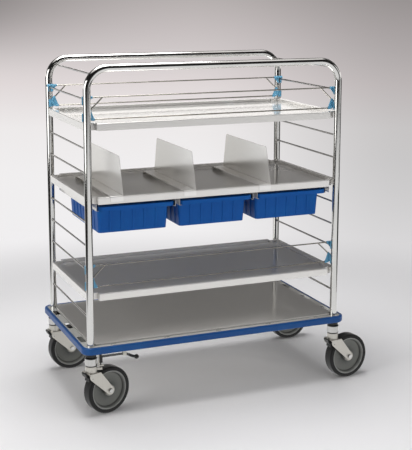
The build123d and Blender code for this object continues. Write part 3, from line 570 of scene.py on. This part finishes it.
# Nodes whose finish differs from their slot's
nodeFinishes = [
    (("bearing_cups",), polishedMetal, {
        "name": "cupChrome", "colour": (0.60, 0.595, 0.585), "darker": (0.48, 0.475, 0.465),
        "roughness": 0.07, "rimBottom": cupHeight - cupRim}),
    (("upper_guard_clips", "lower_guard_clips"), mouldedPlastic, {
        "name": "clipPlastic", "colour": (0.11, 0.33, 0.50), "dusty": (0.17, 0.40, 0.56),
        "roughness": 0.3, "pebble": 1400.0, "relief": 0.08}),
    (("left_rungs", "right_rungs"), polishedMetal, {
        "name": "rungSteel", "colour": (0.38, 0.37, 0.36), "darker": (0.28, 0.27, 0.26),
        "roughness": 0.1, "rings": (900.0, 1.0, 900.0)}),
    (("lock_lever",), satinSheet, {
        "name": "leverSteel", "colour": (0.12, 0.12, 0.12), "darker": (0.06, 0.06, 0.06),
        "roughness": 0.25, "grain": (6.0, 300.0, 300.0), "spread": 0.1, "metallic": 0.8}),
    (("base_frame", "cross_members"), satinSheet, {
        "name": "shadedSteel", "colour": (0.86, 0.86, 0.83), "darker": (0.76, 0.76, 0.73),
        # painted shade: the occlusion mask darkens the channel, so the slots look black inside
        "roughness": 0.22, "paintedShadeReach": 0.06}),
    (("left_divider", "middle_divider", "right_divider"), satinSheet, {
        "name": "dividerSteel", "colour": (0.93, 0.92, 0.90), "darker": (0.84, 0.83, 0.81),
        # painted shade in the folds
        "roughness": 0.16, "grain": (700.0, 2.0, 700.0), "paintedShadeReach": 0.006, "paintedShadeLevel": 0.25,
        # painted sheen at the front, painted shade at the rear
        "paintedSheenSpan": (0.1, -0.27)}),
]

slotMaterials = {slot: make(**values) for slot, (make, values) in slotFinishes.items()}
nodeMaterials = {}
for nodes, make, values in nodeFinishes:
    nodeMaterials.update(dict.fromkeys(nodes, make(**values)))
print("materials ready")

# Every piece of the frame is dressed with a smooth copy

dressSettings = {
    "mergeDistance": 0.00001,
    "flatAngle": 0.3,  # degrees, faces that lie flatter are joined
    "sharpAngle": 35.0,  # degrees, steeper edges stay sharp
    "roundedAngle": 40.0,  # degrees, steeper edges are rounded
    "roundedSegments": 2,
    # mm, by slot: small folds and moulded edges that catch a line of light
    "rounding": {
        "stainless_sheet": 0.7, "blue_plastic": 0.8, "blue_bumper": 2.5, "caster_steel": 0.8,
        "black_pedal": 0.8, "black_plastic": 0.5, "black_steel": 0.4, "chrome_parts": 0.3},
}
behaviour = frame["record"]["behaviour"]
slotOf = {part["node"]: part["material_slot"] for part in frame["record"]["subparts"]}
bodyOf = {node: body for body, nodes in behaviour["bodies"].items() for node in nodes}
spins = {joint["child"]: joint for joint in behaviour["joints"] if "wheel_spin" in joint["name"]}


# The piece's modifiers are used up and leave a plain mesh
def applyModifiers(piece):
    depsgraph = bpy.context.evaluated_depsgraph_get()
    mesh = bpy.data.meshes.new_from_object(piece.evaluated_get(depsgraph), depsgraph=depsgraph)
    mesh.name = piece.name
    piece.modifiers.clear()
    piece.data = mesh


def storeWheelPlace(form, spin):
    centre, axis = Vector(spin["pos_m"]), Vector(spin["axis"])
    layer = form.verts.layers.float_vector.new("wheelPlace")
    for vertex in form.verts:
        arm = vertex.co - centre
        vertex[layer] = arm - axis * arm.dot(axis)


def smoothCopy(node, material, settings):
    mesh = frame["nodes"][node].data.copy()
    mesh.name = node + "_shown"
    form = bmesh.new()
    form.from_mesh(mesh)
    bmesh.ops.remove_doubles(form, verts=form.verts, dist=settings["mergeDistance"])
    flatAngle, sharpAngle = math.radians(settings["flatAngle"]), math.radians(settings["sharpAngle"])
    bmesh.ops.dissolve_limit(form, angle_limit=flatAngle, verts=form.verts, edges=form.edges)
    for face in form.faces:
        face.smooth = True
    for edge in form.edges:
        edge.smooth = edge.is_manifold and edge.calc_face_angle(0.0) < sharpAngle
    if bodyOf[node] in spins:
        storeWheelPlace(form, spins[bodyOf[node]])
    form.to_mesh(mesh)
    form.free()
    mesh.materials.clear()
    mesh.materials.append(material)
    piece = bpy.data.objects.new(node + "_shown", mesh)
    scene.collection.objects.link(piece)
    if slotOf[node] in settings["rounding"]:
        rounding = piece.modifiers.new("softEdges", "BEVEL")
        rounding.width = settings["rounding"][slotOf[node]] * mm
        rounding.segments = settings["roundedSegments"]
        rounding.limit_method = "ANGLE"
        rounding.angle_limit = math.radians(settings["roundedAngle"])
        rounding.use_clamp_overlap = True
    weighted = piece.modifiers.new("evenNormals", "WEIGHTED_NORMAL")
    weighted.keep_sharp = True
    applyModifiers(piece)
    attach(piece, bodyOf[node])
    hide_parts(node)


for nodeName in frame["nodes"]:
    smoothCopy(nodeName, nodeMaterials.get(nodeName, slotMaterials[slotOf[nodeName]]), dressSettings)
print("pieces dressed")

# Weld beads where the rungs meet the hoops

weldSettings = {  # lengths in mm
    "count": 11, "pitch": 101.6, "firstHeight": 109.0,
    "halfLength": 575.0, "halfDepth": 300.0, "tubeRadius": 15.875,
    "bendStart": 1061.0, "bendRadius": 90.0,  # the hoops start to bend below the top rung
    "ringRadius": 4.6, "beadRadius": 1.3, "proud": 0.4,
    "ringSides": 14, "beadSides": 5,
}
weldInputs = {
    "count": ("Rung count", "NodeSocketInt"), "pitch": ("Rung pitch", "NodeSocketFloat"),
    "firstHeight": ("First rung height", "NodeSocketFloat"),
    "halfLength": ("Half length", "NodeSocketFloat"),
    "seat": ("Bead seat from the middle", "NodeSocketFloat"),
    "bendStart": ("Bend start height", "NodeSocketFloat"), "bendRadius": ("Bend radius", "NodeSocketFloat"),
    "ringRadius": ("Ring radius", "NodeSocketFloat"), "beadRadius": ("Bead radius", "NodeSocketFloat"),
    "ringSides": ("Ring sides", "NodeSocketInt"), "beadSides": ("Bead sides", "NodeSocketInt"),
}


def weldTree(material):
    group = bpy.data.node_groups.new("rungWelds", "GeometryNodeTree")
    group.interface.new_socket(name="Geometry", in_out="OUTPUT", socket_type="NodeSocketGeometry")
    identifiers = {
        key: group.interface.new_socket(name=label, in_out="INPUT", socket_type=kind).identifier
        for key, (label, kind) in weldInputs.items()}
    outputs = group.nodes.new("NodeGroupInput").outputs
    given = {key: outputs[label] for key, (label, kind) in weldInputs.items()}

    def build(kind, sources):
        node = group.nodes.new(kind)
        for name, source in sources.items():
            group.links.new(source, node.inputs[name])
        return node.outputs[0]

    # four columns of places, one for each upright
    start = build("ShaderNodeCombineXYZ", {"Z": given["firstHeight"]})
    step = build("ShaderNodeCombineXYZ", {"Z": given["pitch"]})
    line = build("GeometryNodeMeshLine", {"Count": given["count"], "Start Location": start, "Offset": step})
    length = calc(group, "MULTIPLY", given["halfLength"], 2.0)
    depth = calc(group, "MULTIPLY", given["seat"], 2.0)
    uprights = build("GeometryNodeMeshGrid", {"Size X": length, "Size Y": depth})
    uprights.node.inputs["Vertices X"].default_value = 2
    uprights.node.inputs["Vertices Y"].default_value = 2
    columns = build("GeometryNodeInstanceOnPoints", {"Points": uprights, "Instance": line})
    places = build("GeometryNodeRealizeInstances", {"Geometry": columns})

    # where the tube bends they move in towards the middle
    axes = axesOf(group, group.nodes.new("GeometryNodeInputPosition").outputs[0])
    radius = given["bendRadius"]
    rise = calc(group, "MAXIMUM", calc(group, "SUBTRACT", axes["Z"], given["bendStart"]), 0.0)
    squares = calc(group, "MULTIPLY", radius, radius), calc(group, "MULTIPLY", rise, rise)
    inset = calc(group, "SUBTRACT", radius, calc(group, "SQRT", calc(group, "SUBTRACT", *squares)))
    outward = calc(group, "MULTIPLY", calc(group, "SIGN", axes["X"]), inset)
    shift = build("ShaderNodeCombineXYZ", {"X": calc(group, "MULTIPLY", outward, -1.0)})
    moved = build("GeometryNodeSetPosition", {"Geometry": places, "Offset": shift})

    circle = "GeometryNodeCurvePrimitiveCircle"
    ring = build(circle, {"Resolution": given["ringSides"], "Radius": given["ringRadius"]})
    bead = build(circle, {"Resolution": given["beadSides"], "Radius": given["beadRadius"]})
    torus = build("GeometryNodeCurveToMesh", {"Curve": ring, "Profile Curve": bead})
    beads = build("GeometryNodeInstanceOnPoints", {"Points": moved, "Instance": torus})
    beads.node.inputs["Rotation"].default_value = (math.radians(90.0), 0.0, 0.0)
    real = build("GeometryNodeRealizeInstances", {"Geometry": beads})
    dressed = build("GeometryNodeSetMaterial", {"Geometry": real})
    dressed.node.inputs["Material"].default_value = material
    group.links.new(dressed, group.nodes.new("NodeGroupOutput").inputs[0])
    return group, identifiers


def addWelds(settings, material):
    group, identifiers = weldTree(material)
    welds = bpy.data.objects.new("rungWelds", bpy.data.meshes.new("rungWelds"))
    scene.collection.objects.link(welds)
    modifier = welds.modifiers.new("welds", "NODES")
    modifier.node_group = group
    seat = settings["halfDepth"] - settings["tubeRadius"] + settings["proud"]
    sizes = dict(settings, seat=seat)
    for key, identifier in identifiers.items():
        modifier[identifier] = sizes[key] if isinstance(sizes[key], int) else sizes[key] * mm
    applyModifiers(welds)
    for face in welds.data.polygons:
        face.use_smooth = True
    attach(welds, bodyOf["front_hoop"])


addWelds(weldSettings, nodeMaterials["left_rungs"])
print("welds added")
